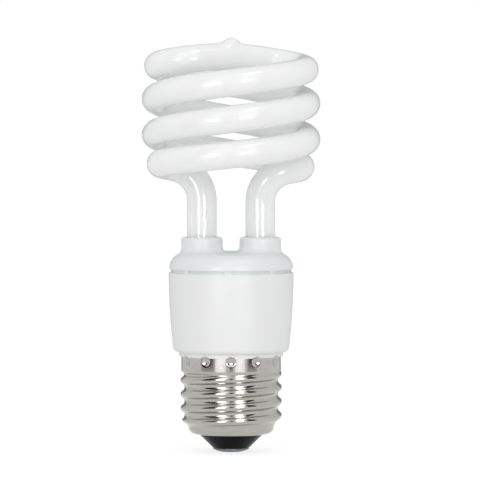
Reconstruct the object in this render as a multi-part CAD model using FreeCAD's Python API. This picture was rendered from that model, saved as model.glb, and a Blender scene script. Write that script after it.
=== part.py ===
import FreeCAD, Part
import os
from math import asin, atan, atan2, ceil, cos, degrees, pi, radians, sin, sqrt
from FreeCAD import Matrix, Vector

# Spiral energy saving bulb: a glass tube wound as a double helix, cemented into a two-part plastic
# ballast housing on an E26 screw base, with the ballast board and its components inside.
# Millimetres, +Z up, origin at the tip of the centre contact on the lamp's axis.

# Clearances
SLIP = 0.1            # between pieces that slide together
CLOSE = 0.03          # between a lead and its hole, or a turn of wire and what it goes round
SPACING = 0.5         # between neighbouring components
OVERRUN = 1.0         # how far a cutting shape runs past the face that it opens
MATCH = 0.001         # how near a length or a level has to be to count as the same

# Centre contact and its eyelet
CONTACT_RADIUS = 4.65
CONTACT_FLAT_RADIUS = 2.0
CONTACT_DOME = 0.75
CONTACT_HEIGHT = 1.03
EYELET_RADIUS = 1.4
EYELET_BORE_RADIUS = 0.9
EYELET_FLARE = 0.6
EYELET_FLARE_THICKNESS = 0.35
SOLDER_DEPTH = 1.6

# Black glass insulator
INSULATOR_TIP_RADIUS = 4.7
INSULATOR_CONE_HEIGHT = 3.7
INSULATOR_DISH_HEIGHT = 2.0
INSULATOR_HUB_RADIUS = 3.2
INSULATOR_HUB_HEIGHT = 3.4

# Screw shell, rolled from sheet
SHEET = 0.3
SHELL_HEIGHT = 20.17
CREST_RADIUS = 13.1
VALLEY_RADIUS = 12.1
THREAD_PITCH = 3.63
FIRST_CREST = 4.77    # from the shell's bottom to the lowest full crest on the +X side
RUNOUT_HEIGHT = 2.3
SKIRT_RADIUS = 12.9
SKIRT_HEIGHT = 3.7
SKIRT_RUNOUT = 1.2
RIM_RADIUS = 11.05
RIM_BEND = 1.65
RIM_HOLE_RADIUS = 8.6
RING_STEP = 0.55      # between the rings that the thread is lofted through
RING_POINTS = 30
RIM_BEND_RINGS = 6

# Staking dents round the shell's skirt
DENT_COUNT = 12
DENT_HALF_WIDTH = 1.0
DENT_DEPTH = 0.45
DENT_BELOW_EDGE = 1.15

# Ballast housing, the lower half
FLANGE_RADIUS = 13.5
FLANGE_HEIGHT = 0.97
NECK_LENGTH = 3.4
NECK_WALL = 1.3
NOTCH_WIDTH = 1.4
NOTCH_HEIGHT = 1.6
HOUSING_HEIGHT = 20.53
HOUSING_FOOT_RADIUS = 15.05
HOUSING_TOP_RADIUS = 16.15
HOUSING_CORNER = 1.4
HOUSING_WALL = 1.25
LEDGE_COUNT = 4
LEDGE_WIDTH = 1.2
LEDGE_REACH = 1.5

# Tube cap, the upper half
GROOVE_HEIGHT = 0.97
GROOVE_DEPTH = 0.75
GROOVE_RIB_COUNT = 8
GROOVE_RIB_WIDTH = 1.8
GROOVE_RIB_SETBACK = 0.4
GROOVE_RIB_TURN = -2.5
CAP_SETBACK = 0.15    # how far the cap's rim lies inside the housing's
CAP_RIM_HEIGHT = 0.23
CAP_EDGE_RADIUS = 4.0
CAP_WALL = 1.2
SPIGOT_WALL = 1.2
SNAP_COUNT = 4
SNAP_WIDTH = 5.0
SNAP_HEIGHT = 1.2
SNAP_DEPTH = 0.35
SNAP_BELOW_RIM = 1.9
COLLAR_RADIUS = 5.35
COLLAR_HEIGHT = 4.0
COLLAR_ROUND = 0.8
COLLAR_FILLET = 1.7
SOCKET_DEPTH = 3.0    # how far the collars go on below the cap's ceiling

# Discharge tube
LEG_OFFSET = 7.55     # from the lamp's axis to each leg's
LEG_RADIUS = 3.85
LEG_RISE = 12.95      # from the cap's top to the start of the elbow
ELBOW_RADIUS = 8.9
ENTRY_ANGLE = 28.8    # where the bend out of the leg meets the coil, in plan
COIL_RADIUS = 19.6
COIL_RISE = 18.4      # rise of one strand in a full turn
COIL_END_ANGLE = 522.5
COIL_LEAN = 0.026     # how far the wound coil dips towards +X in each millimetre
CROSS_RADIUS = 7.5    # plan radius of the bend from the coil to the crossover
COIL_TUBE_RADIUS = 3.5
TAPER_LENGTH = 30.0   # from the leg's top to where the tube is drawn down to the coil's radius
START_SLOPE = 0.71    # share of the coil's slope just after the elbow
SLOPE_EASE_IN = 55.0
SLOPE_EASE_OUT = 11.3
STATION_STEP = 9.0
ELBOW_STATIONS = 2
TIP_HEIGHT = 1.45
TIP_RADIUS = 2.6
TIP_FILLET = 5.0
LEG_SINK = 2.1        # how far the round leg reaches below the cap's top
PINCH_HEIGHT = 2.4
PINCH_LENGTH = 1.9
PINCH_HALF_WIDTH = 3.95
PINCH_HALF_THICKNESS = 1.3
CEMENT_GAP = 0.6
CEMENT_BELOW_COLLAR = 0.7

# Ballast board
BOARD_DEPTH = 5.9     # from the housing's rim to the board's underside
BOARD_THICKNESS = 1.6
BOARD_EDGE_GAP = 0.3
LEAD_RADIUS = 0.3
LEAD_BEND = 0.6
LEAD_STUB = 0.7       # how far leads stand out of the board's solder side
STANDOFF = 0.5        # gap between a component's body and the board

# Components under the board
DIAC_RADIUS = 0.9
DIAC_LENGTH = 3.8
DIAC_SPAN = 7.6
BULK_RADIUS = 4.0
BULK_LENGTH = 14.0
BULK_ROUND = 0.6
BULK_CRIMP = 0.35
BULK_CRIMP_DROP = 1.8
BULK_LEAD_PITCH = 3.5
CORE_WIDTH = 11.6
CORE_DEPTH = 4.6
CORE_HEIGHT = 10.4
CORE_BACK = 1.6
CORE_LEG = 3.0
CORE_SIDE = 1.6
BOBBIN_WALL = 0.6
BOBBIN_DEPTH = 8.6
BOBBIN_PIN_INSET = 0.8
WINDING_INSET = 0.35
WINDING_ROUND = 1.4
TOROID_RADIUS = 4.1
TOROID_BORE_RADIUS = 2.1
TOROID_THICKNESS = 3.0
TOROID_Y = -1.8
DRIVE_WIRE = 0.5
DRIVE_TURN_STEP = 13.0
DRIVE_WINDING_ANGLES = (-80.0, 0.0, 80.0)
DRIVE_LEAD_SPREAD = 0.9
TRANSISTOR_RADIUS = 2.3
TRANSISTOR_FLAT = 1.3
TRANSISTOR_HEIGHT = 4.8
TRANSISTOR_PITCH = 1.27
TRANSISTOR_LEG = 2.0
TRANSISTOR_Y = 0.6
FILM_WIDTH = 4.8
FILM_THICKNESS = 2.8
FILM_ROUND = 0.9
FILM_LEAD_PITCH = 2.6
RESONANT_HEIGHT = 6.5
COUPLING_HEIGHT = 8.0
FUSE_RADIUS = 1.2
FUSE_LENGTH = 6.0
FUSE_LEAD = 1.5
FUSE_GAP = 0.35       # between the fusible resistor and the capacitor's can

# Components on the solder side
DIODE_SIZE = (4.2, 2.6, 1.9)
DIODE_X = 2.6
DIODE_OFFSETS = (2.35, -3.25)    # from the capacitor's axis
CHIP_SIZE = (3.2, 1.6, 0.6)
CHIP_COUNT = 4
CHIP_FIRST_Y = 2.9
CHIP_STEP = 2.3
POST_WIDTH = 0.7
POST_HEIGHT = 3.2
POST_TAIL = 0.8
POST_GAP = 1.76       # from the spigot's bore to each post's axis
POST_Y = 2.8

# Wires
WIRE_RADIUS = 0.4
WIRE_BEND = 1.2
WIRE_END = 0.5        # how far the contact wire's end stays above the contact's tip
CONTACT_WIRE_ANGLE = -57.5
CONTACT_WIRE_GAP = 0.37    # between the wire and the neck's bore
CONTACT_WIRE_RISE = (3.0, 9.0)
FILAMENT_RADIUS = 0.22
FILAMENT_BEND = 0.6
FILAMENT_SPREAD = 2.0
WRAP_HEIGHT = 1.2

# Levels along the axis, worked out from the sizes above
SHELL_BOTTOM = CONTACT_HEIGHT + INSULATOR_CONE_HEIGHT
INSULATOR_TOP = SHELL_BOTTOM + SHEET + INSULATOR_HUB_HEIGHT
SHELL_TOP = SHELL_BOTTOM + SHELL_HEIGHT
SKIRT_BOTTOM = SHELL_TOP - SKIRT_HEIGHT
RIM_TOP = SHELL_BOTTOM + RIM_BEND
NECK_BOTTOM = SHELL_TOP - NECK_LENGTH
HOUSING_BOTTOM = SHELL_TOP + FLANGE_HEIGHT
HOUSING_TOP = HOUSING_BOTTOM + HOUSING_HEIGHT
CAP_BOTTOM = HOUSING_TOP + GROOVE_HEIGHT
CAP_TOP = CAP_BOTTOM + CAP_RIM_HEIGHT + CAP_EDGE_RADIUS
CAP_CEILING = CAP_TOP - CAP_WALL
SOCKET_BOTTOM = CAP_CEILING - SOCKET_DEPTH
COLLAR_TOP = CAP_TOP + COLLAR_HEIGHT
LEG_BOTTOM = CAP_TOP - LEG_SINK
PINCH_BOTTOM = LEG_BOTTOM - PINCH_HEIGHT - PINCH_LENGTH
ELBOW_BOTTOM = CAP_TOP + LEG_RISE
BOARD_BOTTOM = HOUSING_TOP - BOARD_DEPTH
BOARD_TOP = BOARD_BOTTOM + BOARD_THICKNESS
LEAD_TOP = BOARD_TOP + LEAD_STUB
BODY_TOP = BOARD_BOTTOM - STANDOFF
FUSE_BOTTOM = BODY_TOP - FUSE_LENGTH
SHELL_WIRE_Z = NECK_BOTTOM + NOTCH_HEIGHT - WIRE_RADIUS - SLIP
WRAP_Z = BOARD_TOP + POST_HEIGHT / 2

# Radii and places in plan that follow from them
THREAD_DEPTH = CREST_RADIUS - VALLEY_RADIUS
KNUCKLE = (THREAD_PITCH ** 2 / 4 + THREAD_DEPTH ** 2) / (4 * THREAD_DEPTH)
DENT_BALL = (DENT_HALF_WIDTH ** 2 + DENT_DEPTH ** 2) / (2 * DENT_DEPTH)
NECK_RADIUS = SKIRT_RADIUS - SHEET - SLIP
NECK_BORE_RADIUS = NECK_RADIUS - NECK_WALL
MOUTH_RADIUS = HOUSING_TOP_RADIUS - HOUSING_WALL
SPIGOT_RADIUS = MOUTH_RADIUS - SLIP
SPIGOT_BORE_RADIUS = SPIGOT_RADIUS - SPIGOT_WALL
CAP_RADIUS = HOUSING_TOP_RADIUS - CAP_SETBACK
SHOULDER_RADIUS = CAP_RADIUS - GROOVE_DEPTH
LEG_PLACES = (-LEG_OFFSET, LEG_OFFSET)
SIDE_X = CORE_WIDTH / 2 + SPACING
FUSE_ANGLE = -90.0 - 180.0 / DENT_COUNT
FUSE_OFFSET = NECK_BORE_RADIUS - WIRE_BEND
FUSE_X = FUSE_OFFSET * cos(radians(FUSE_ANGLE))
FUSE_Y = FUSE_OFFSET * sin(radians(FUSE_ANGLE))
BULK_Y = FUSE_Y + sqrt((BULK_RADIUS + FUSE_GAP + FUSE_RADIUS) ** 2 - FUSE_X ** 2)
DIAC_Y = BULK_Y + BULK_RADIUS + SPACING + DIAC_RADIUS
CHOKE_Y = DIAC_Y + DIAC_RADIUS + SPACING + BOBBIN_DEPTH / 2
WINDOW_EDGE = CORE_WIDTH / 2 - CORE_SIDE
TOROID_X = -(SIDE_X + TOROID_THICKNESS / 2 + DRIVE_WIRE + CLOSE)
TOROID_Z = BODY_TOP - DRIVE_WIRE - CLOSE - TOROID_RADIUS
DRIVE_RADIUS = TOROID_RADIUS + CLOSE + DRIVE_WIRE / 2
TRANSISTOR_X = SIDE_X + TRANSISTOR_RADIUS
TRANSISTOR_PLACES = (TRANSISTOR_Y, TRANSISTOR_Y - 2 * TRANSISTOR_RADIUS - SPACING)
FILM_X = SIDE_X + FILM_THICKNESS / 2
RESONANT_Y = TOROID_Y + TOROID_RADIUS + DRIVE_WIRE + SPACING + FILM_WIDTH / 2
COUPLING_Y = TRANSISTOR_Y + TRANSISTOR_RADIUS + SPACING + FILM_WIDTH / 2
CONTACT_WIRE_OFFSET = NECK_BORE_RADIUS - CONTACT_WIRE_GAP - WIRE_RADIUS
CONTACT_WIRE_X = CONTACT_WIRE_OFFSET * cos(radians(CONTACT_WIRE_ANGLE))
CONTACT_WIRE_Y = CONTACT_WIRE_OFFSET * sin(radians(CONTACT_WIRE_ANGLE))
POST_X = sqrt((SPIGOT_BORE_RADIUS - POST_GAP) ** 2 - POST_Y ** 2)
POST_PLACES = [(x, y) for x in (-POST_X, POST_X) for y in (-POST_Y, POST_Y)]
POST_HOLE_RADIUS = POST_WIDTH / sqrt(2) + CLOSE
Z_AXIS = Vector(0, 0, 1)


def at_radius(radius, angle, z=0.0):
    """Point at a radius and an angle in degrees round the lamp's axis."""
    return Vector(radius * cos(radians(angle)), radius * sin(radians(angle)), z)


def on_arc(centre, radius, angle):
    """Outline point on a circle, its angle in degrees from the outward direction."""
    return (centre[0] + radius * cos(radians(angle)), centre[1] + radius * sin(radians(angle)))


def outline(start, steps):
    """Open wire in the XZ plane. A step is a point to go straight to, or (via, end) for an arc."""
    edges = []
    here = Vector(start[0], 0, start[1])
    for step in steps:
        if isinstance(step[0], tuple):
            via, end = [Vector(point[0], 0, point[1]) for point in step]
            edges.append(Part.Arc(here, via, end).toShape())
        else:
            end = Vector(step[0], 0, step[1])
            edges.append(Part.LineSegment(here, end).toShape())
        here = end
    return Part.Wire(edges)


def turned(start, steps, angle=360.0):
    """Solid turned about the Z axis from an outline that is closed back to its start."""
    return Part.Face(outline(start, steps + [start])).revolve(Vector(0, 0, 0), Z_AXIS, angle)


def rod(radius, bottom, top, x=0.0, y=0.0):
    """Upright round bar."""
    return Part.makeCylinder(radius, top - bottom, Vector(x, y, bottom))


def block(width, depth, bottom, top, x=0.0, y=0.0):
    """Upright block, centred on x and y."""
    return Part.makeBox(width, depth, top - bottom, Vector(x - width / 2, y - depth / 2, bottom))


def rounded_upright(solid, radius):
    """Solid with its upright edges rounded."""
    upright = [edge for edge in solid.Edges if edge.BoundBox.XLength + edge.BoundBox.YLength < MATCH]
    return solid.makeFillet(radius, upright)


def turned_copies(solid, count, first=0.0):
    """Copies of a solid spaced evenly round the axis."""
    copies = []
    for index in range(count):
        copy = solid.copy()
        copy.rotate(Vector(0, 0, 0), Z_AXIS, first + 360.0 * index / count)
        copies.append(copy)
    return copies


def bent_wire(points, radius, bend):
    """Round wire along straight runs joined by arcs of one bend radius."""
    edges = []
    here = points[0]
    for before, corner, after in zip(points, points[1:], points[2:]):
        to_back = (before - corner).normalize()
        to_front = (after - corner).normalize()
        half_angle = to_back.getAngle(to_front) / 2
        reach = bend * cos(half_angle) / sin(half_angle)
        arc_start = corner + to_back * reach
        arc_end = corner + to_front * reach
        arc_via = corner + (to_back + to_front).normalize() * (bend / sin(half_angle) - bend)
        edges.append(Part.LineSegment(here, arc_start).toShape())
        edges.append(Part.Arc(arc_start, arc_via, arc_end).toShape())
        here = arc_end
    edges.append(Part.LineSegment(here, points[-1]).toShape())
    section = Part.Wire(Part.makeCircle(radius, points[0], points[1] - points[0]))
    return Part.Wire(edges).makePipeShell([section], True, False)


def ease(share):
    """Smooth step from 0 to 1."""
    share = min(1.0, max(0.0, share))
    return share * share * (3 - 2 * share)


def save(name, pieces):
    """Write one piece, or a group of like pieces, as a node."""
    shape = Part.makeCompound(pieces) if isinstance(pieces, list) else pieces
    shape.exportStep("parts/" + name + ".step")


# Screw base


def thread_radius(turns, z):
    """Outer radius of the shell's knuckle thread, run out into the rim below and the skirt above."""
    pitches = (z - SHELL_BOTTOM - FIRST_CREST) / THREAD_PITCH - turns
    from_crest = abs(pitches - round(pitches)) * THREAD_PITCH
    from_valley = THREAD_PITCH / 2 - from_crest
    if from_crest < from_valley:
        radius = CREST_RADIUS - KNUCKLE + sqrt(KNUCKLE ** 2 - from_crest ** 2)
    else:
        radius = VALLEY_RADIUS + KNUCKLE - sqrt(KNUCKLE ** 2 - from_valley ** 2)
    radius = RIM_RADIUS + (radius - RIM_RADIUS) * ease((z - RIM_TOP) / RUNOUT_HEIGHT)
    return radius + (SKIRT_RADIUS - radius) * ease((z - SKIRT_BOTTOM + SKIRT_RUNOUT) / SKIRT_RUNOUT)


def shell_ring(radius_at, z):
    """Closed curve round the shell at one level, from its radius at each share of a turn."""
    shares = [index / RING_POINTS for index in range(RING_POINTS + 1)]
    points = [at_radius(radius_at(share), 360 * share, z) for share in shares[:-1]]
    curve = Part.BSplineCurve()
    curve.interpolate(Points=points, Parameters=shares, PeriodicFlag=True)
    return Part.Wire(curve.toShape())


def shell_form(inset):
    """Filled form of the shell, from the rim's bend up the thread and the skirt, moved in by the inset."""
    bend_centre = (RIM_RADIUS - RIM_BEND, RIM_TOP)
    rings = []
    for index in range(RIM_BEND_RINGS):
        radius, z = on_arc(bend_centre, RIM_BEND - inset, -90 + 90 * index / RIM_BEND_RINGS)
        rings.append(shell_ring(lambda share: radius, z))
    steps = ceil((SKIRT_BOTTOM - RIM_TOP) / RING_STEP)
    levels = [RIM_TOP + (SKIRT_BOTTOM - RIM_TOP) * index / steps for index in range(steps + 1)]
    for z in levels + [SHELL_TOP]:
        rings.append(shell_ring(lambda share: thread_radius(share, z) - inset, z))
    return Part.makeLoft(rings, True, True)


def dent_balls(radius):
    """Balls that press the staking dents, one at each place round the skirt."""
    ball = Part.makeSphere(radius)
    ball.translate(Vector(SKIRT_RADIUS - DENT_DEPTH + DENT_BALL, 0, SHELL_TOP - DENT_BELOW_EDGE))
    return turned_copies(ball, DENT_COUNT, -90.0)


def screw_shell():
    """Sheet shell with its thread inside and out, turned-in rim and staking dents."""
    outside = shell_form(0).cut(dent_balls(DENT_BALL))
    inside = shell_form(SHEET).cut(dent_balls(DENT_BALL + SHEET))
    return outside.cut([inside, rod(RIM_HOLE_RADIUS, SHELL_BOTTOM, RIM_TOP)])


def base_insulator():
    """Glass cone that fills the shell's bottom and carries the contact's eyelet."""
    bore = EYELET_RADIUS + CLOSE
    waist = RIM_HOLE_RADIUS - SLIP
    seat = SHELL_BOTTOM + SHEET + CLOSE
    dish = RIM_RADIUS - RIM_BEND - SLIP
    return turned((bore, CONTACT_HEIGHT), [
        (INSULATOR_TIP_RADIUS, CONTACT_HEIGHT),
        (waist, SHELL_BOTTOM),
        (waist, seat),
        (dish, seat),
        (dish, seat + INSULATOR_DISH_HEIGHT),
        (INSULATOR_HUB_RADIUS, INSULATOR_TOP),
        (bore, INSULATOR_TOP),
    ])


def centre_contact():
    """Domed disc with a tubular eyelet, flared over the insulator."""
    flare = EYELET_RADIUS + EYELET_FLARE
    top = INSULATOR_TOP + EYELET_FLARE_THICKNESS
    dome_via = ((CONTACT_FLAT_RADIUS + CONTACT_RADIUS) / 2, CONTACT_DOME / 4)
    return turned((EYELET_BORE_RADIUS, 0), [
        (CONTACT_FLAT_RADIUS, 0),
        (dome_via, (CONTACT_RADIUS, CONTACT_DOME)),
        (CONTACT_RADIUS, CONTACT_HEIGHT),
        (EYELET_RADIUS, CONTACT_HEIGHT),
        (EYELET_RADIUS, INSULATOR_TOP),
        (flare, INSULATOR_TOP),
        (flare, top),
        (EYELET_BORE_RADIUS, top),
    ])


def contact_wire():
    """Supply wire from the board down to the lamp's axis and into the eyelet."""
    top = Vector(CONTACT_WIRE_X, CONTACT_WIRE_Y, LEAD_TOP)
    low_rise, high_rise = CONTACT_WIRE_RISE
    knee = Vector(CONTACT_WIRE_X, CONTACT_WIRE_Y, INSULATOR_TOP + high_rise)
    over_eyelet = Vector(0, 0, INSULATOR_TOP + low_rise)
    return bent_wire([top, knee, over_eyelet, Vector(0, 0, WIRE_END)], WIRE_RADIUS, WIRE_BEND)


def contact_solder(wire):
    """Solder that fills the eyelet's mouth round the end of its wire."""
    return rod(EYELET_BORE_RADIUS, 0, SOLDER_DEPTH).cut(wire)


# Ballast housing


def housing_side(inset):
    """Foot, middle and rim of the housing's side: an arc that comes upright at the rim."""
    foot = (HOUSING_FOOT_RADIUS - inset, HOUSING_BOTTOM + HOUSING_CORNER)
    rim = (HOUSING_TOP_RADIUS - inset, HOUSING_TOP)
    middle = (rim[0] - (rim[0] - foot[0]) / 4, (foot[1] + rim[1]) / 2)
    return foot, middle, rim


def board_radius():
    """Radius of the board where it lies in the tapered housing."""
    foot, middle, rim = housing_side(HOUSING_WALL)
    drop = (HOUSING_TOP - BOARD_BOTTOM) / (HOUSING_TOP - foot[1])
    return rim[0] - (rim[0] - foot[0]) * drop ** 2 - BOARD_EDGE_GAP


def snap_wedge(width, height, depth):
    """Wedge that stands out from the cap's spigot and catches in the housing's wall."""
    level = HOUSING_TOP - SNAP_BELOW_RIM + (height - SNAP_HEIGHT) / 2
    root = SPIGOT_RADIUS - SPIGOT_WALL / 2
    spread = degrees(width / SPIGOT_RADIUS)
    wedge = turned((root, level - height), [
        (SPIGOT_RADIUS, level - height),
        (SPIGOT_RADIUS + depth, level - height / 4),
        (SPIGOT_RADIUS + depth, level),
        (root, level),
    ], spread)
    wedge.rotate(Vector(0, 0, 0), Z_AXIS, -spread / 2)
    return wedge


def ballast_housing():
    """Tapered cup with a flange and neck for the shell, board ledges and snap recesses."""
    foot, middle, rim = housing_side(0)
    inner_foot, inner_middle, inner_rim = housing_side(HOUSING_WALL)
    corner_centre = (HOUSING_FOOT_RADIUS - HOUSING_CORNER, HOUSING_BOTTOM + HOUSING_CORNER)
    floor = HOUSING_BOTTOM + HOUSING_WALL
    cup = turned((NECK_BORE_RADIUS, NECK_BOTTOM), [
        (NECK_RADIUS, NECK_BOTTOM),
        (NECK_RADIUS, SHELL_TOP),
        (FLANGE_RADIUS, SHELL_TOP),
        (FLANGE_RADIUS, HOUSING_BOTTOM),
        on_arc(corner_centre, HOUSING_CORNER, -90),
        (on_arc(corner_centre, HOUSING_CORNER, -45), foot),
        (middle, rim),
        inner_rim,
        (inner_middle, inner_foot),
        (inner_foot[0], floor),
        (NECK_BORE_RADIUS, floor),
    ])
    sunk = HOUSING_WALL / 2
    ledge_inner = board_radius() - LEDGE_REACH
    ledge = turned((ledge_inner, floor - sunk), [
        (inner_foot[0] + sunk, floor - sunk),
        (inner_foot[0] + sunk, inner_foot[1]),
        (board_radius() + BOARD_EDGE_GAP + sunk, BOARD_BOTTOM),
        (ledge_inner, BOARD_BOTTOM),
    ], degrees(LEDGE_WIDTH / ledge_inner))
    ledges = turned_copies(ledge, LEDGE_COUNT, -degrees(LEDGE_WIDTH / ledge_inner) / 2)
    pockets = dent_balls(DENT_BALL + SHEET + SLIP)
    recess = snap_wedge(SNAP_WIDTH + 2 * SLIP, SNAP_HEIGHT + 2 * SLIP, SNAP_DEPTH + SLIP)
    recesses = turned_copies(recess, SNAP_COUNT, 180.0 / SNAP_COUNT)
    notch_bottom = NECK_BOTTOM - OVERRUN
    notch_length = NECK_WALL + OVERRUN
    notch_x = NECK_RADIUS - NECK_WALL / 2
    notch = block(notch_length, NOTCH_WIDTH, notch_bottom, NECK_BOTTOM + NOTCH_HEIGHT, notch_x)
    notch.rotate(Vector(0, 0, 0), Z_AXIS, FUSE_ANGLE)
    return cup.fuse(ledges).cut(pockets + recesses + [notch])


def is_collar_base(edge):
    """Whether an edge runs where a collar stands on the cap's dome."""
    middle = edge.valueAt((edge.FirstParameter + edge.LastParameter) / 2)
    beside = min(abs(sqrt((middle.x - x) ** 2 + middle.y ** 2) - COLLAR_RADIUS) for x in LEG_PLACES)
    return beside < MATCH and CAP_BOTTOM + MATCH < middle.z < CAP_TOP + MATCH


def tube_cap():
    """Domed cap with two collars, a spigot into the housing, spacer ribs and snap wedges."""
    edge_centre = (CAP_RADIUS - CAP_EDGE_RADIUS, CAP_TOP - CAP_EDGE_RADIUS)
    dome = turned((0, CAP_BOTTOM), [
        (CAP_RADIUS, CAP_BOTTOM),
        on_arc(edge_centre, CAP_EDGE_RADIUS, 0),
        (on_arc(edge_centre, CAP_EDGE_RADIUS, 45), on_arc(edge_centre, CAP_EDGE_RADIUS, 90)),
        (0, CAP_TOP),
    ])
    collars = [rod(COLLAR_RADIUS, CAP_CEILING, COLLAR_TOP, x) for x in LEG_PLACES]
    body = dome.fuse(collars)
    tops = [edge for edge in body.Edges if edge.BoundBox.ZMin > COLLAR_TOP - MATCH]
    body = body.makeFillet(COLLAR_ROUND, tops)
    body = body.makeFillet(COLLAR_FILLET, [edge for edge in body.Edges if is_collar_base(edge)])
    spigot_bottom = BOARD_TOP + SLIP
    spigot = rod(SPIGOT_RADIUS, spigot_bottom, CAP_BOTTOM)
    shoulder = rod(SHOULDER_RADIUS, HOUSING_TOP, CAP_BOTTOM)
    rib_outer = CAP_RADIUS - GROOVE_RIB_SETBACK
    rib_length = rib_outer - SHOULDER_RADIUS + SPIGOT_WALL / 2
    rib = block(rib_length, GROOVE_RIB_WIDTH, HOUSING_TOP, CAP_BOTTOM, rib_outer - rib_length / 2)
    ribs = turned_copies(rib, GROOVE_RIB_COUNT, GROOVE_RIB_TURN - 90.0)
    snaps = turned_copies(snap_wedge(SNAP_WIDTH, SNAP_HEIGHT, SNAP_DEPTH), SNAP_COUNT, 180.0 / SNAP_COUNT)
    inner_edge = CAP_EDGE_RADIUS - CAP_WALL
    inner_centre = (SPIGOT_BORE_RADIUS - inner_edge, CAP_CEILING - inner_edge)
    hollow = turned((0, spigot_bottom - OVERRUN), [
        (SPIGOT_BORE_RADIUS, spigot_bottom - OVERRUN),
        on_arc(inner_centre, inner_edge, 0),
        (on_arc(inner_centre, inner_edge, 45), on_arc(inner_centre, inner_edge, 90)),
        (0, CAP_CEILING),
    ])
    bore = LEG_RADIUS + CEMENT_GAP
    sockets = [rod(COLLAR_RADIUS, SOCKET_BOTTOM, COLLAR_TOP, x) for x in LEG_PLACES]
    bores = [rod(bore, SOCKET_BOTTOM - OVERRUN, COLLAR_TOP + OVERRUN, x) for x in LEG_PLACES]
    return body.fuse([spigot, shoulder] + ribs + snaps).cut(hollow.cut(sockets)).cut(bores)


# Discharge tube


def strand_stations():
    """Places and headings along one strand, from the top of its leg to the lamp's axis."""
    slope = COIL_RISE / (2 * pi * COIL_RADIUS)
    entry = radians(ENTRY_ANGLE)
    leg_out = LEG_OFFSET * cos(entry)
    leg_to_coil = COIL_RADIUS ** 2 - 2 * COIL_RADIUS * leg_out + LEG_OFFSET ** 2
    entry_radius = leg_to_coil / (2 * (COIL_RADIUS - leg_out))
    entry_centre = at_radius(COIL_RADIUS - entry_radius, ENTRY_ANGLE)
    entry_start = atan2(-entry_centre.y, LEG_OFFSET - entry_centre.x)
    entry_end = entry_radius * (entry - entry_start)
    coil_end = entry_end + COIL_RADIUS * (radians(COIL_END_ANGLE) - entry)
    cross_centre = at_radius(COIL_RADIUS - CROSS_RADIUS, COIL_END_ANGLE)
    cross_turn = pi / 2 + asin(CROSS_RADIUS / cross_centre.Length)
    cross_end = coil_end + CROSS_RADIUS * cross_turn
    cross_heading = at_radius(1, COIL_END_ANGLE + 90 + degrees(cross_turn))
    axis_end = cross_end + sqrt(cross_centre.Length ** 2 - CROSS_RADIUS ** 2)
    elbow_turn = pi / 2 - atan(slope * START_SLOPE)
    elbow_end = ELBOW_RADIUS * (1 - cos(elbow_turn))
    elbow_top = ELBOW_BOTTOM + ELBOW_RADIUS * sin(elbow_turn)

    def plan(along):
        """Place and heading in plan: the bend out of the leg, the coil, the bend in and the crossover."""
        if along >= cross_end:
            return cross_heading * (along - axis_end), cross_heading
        if along < entry_end:
            centre = entry_centre
            arm = at_radius(entry_radius, degrees(entry_start + along / entry_radius))
        elif along < coil_end:
            centre = Vector(0, 0, 0)
            arm = at_radius(COIL_RADIUS, degrees(entry + (along - entry_end) / COIL_RADIUS))
        else:
            centre = cross_centre
            arm = at_radius(CROSS_RADIUS, COIL_END_ANGLE + degrees((along - coil_end) / CROSS_RADIUS))
        return centre + arm, Z_AXIS.cross(arm).normalize()

    def coil_station(along):
        """Place and heading past the elbow: the slope eases in to the coil's and out towards the axis."""
        place, ahead = plan(along)
        run = along - elbow_end
        easing_in = min(run, SLOPE_EASE_IN)
        easing_out = max(0, along - axis_end + SLOPE_EASE_OUT)
        lost_in = (1 - START_SLOPE) * (easing_in - easing_in ** 2 / (2 * SLOPE_EASE_IN))
        lost_out = easing_out ** 2 / (2 * SLOPE_EASE_OUT)
        rise = START_SLOPE + (1 - START_SLOPE) * easing_in / SLOPE_EASE_IN - easing_out / SLOPE_EASE_OUT
        height = elbow_top + slope * (run - lost_in - lost_out)
        return place + Z_AXIS * height, (ahead + Z_AXIS * slope * rise).normalize()

    stations = []
    for index in range(ELBOW_STATIONS):
        turn = elbow_turn * index / ELBOW_STATIONS
        place, ahead = plan(ELBOW_RADIUS * (1 - cos(turn)))
        height = ELBOW_BOTTOM + ELBOW_RADIUS * sin(turn)
        stations.append((place + Z_AXIS * height, ahead * sin(turn) + Z_AXIS * cos(turn)))
    marks = (elbow_end, entry_end, coil_end, cross_end, axis_end)
    for first, last in zip(marks, marks[1:]):
        steps = ceil((last - first) / STATION_STEP)
        stations += [coil_station(first + (last - first) * index / steps) for index in range(steps)]
    return stations + [coil_station(axis_end)]


def leaning(stations, lean):
    """The same stations with the coil dipping to one side."""
    return [
        (place - Z_AXIS * lean * place.x, (heading - Z_AXIS * lean * heading.x).normalize())
        for place, heading in stations
    ]


def tangent_arc(start, heading, end):
    """Arc that leaves one place along a heading and ends at another, with its heading there."""
    chord = end - start
    across = chord - heading * chord.dot(heading)
    if across.Length < MATCH ** 2:
        return Part.LineSegment(start, end).toShape(), heading
    across.normalize()
    radius = chord.Length ** 2 / (2 * chord.dot(across))
    centre = start + across * radius
    via = centre + ((start + end) / 2 - centre).normalize() * radius
    chord.normalize()
    return Part.Arc(start, via, end).toShape(), chord * 2 * chord.dot(heading) - heading


def arcs_through(stations):
    """Arcs in a row, each tangent to the next: two from each station to the following one."""
    arcs = []
    for (start, leaving), (end, arriving) in zip(stations, stations[1:]):
        chord = end - start
        run = chord.dot(leaving + arriving)
        spread = 2 * (1 - leaving.dot(arriving))
        reach = chord.Length ** 2 / (sqrt(run ** 2 + spread * chord.Length ** 2) + run)
        joint = (start + end + (leaving - arriving) * reach) / 2
        first, heading = tangent_arc(start, leaving, joint)
        second, heading = tangent_arc(joint, heading, end)
        arcs += [first, second]
    return arcs


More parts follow.
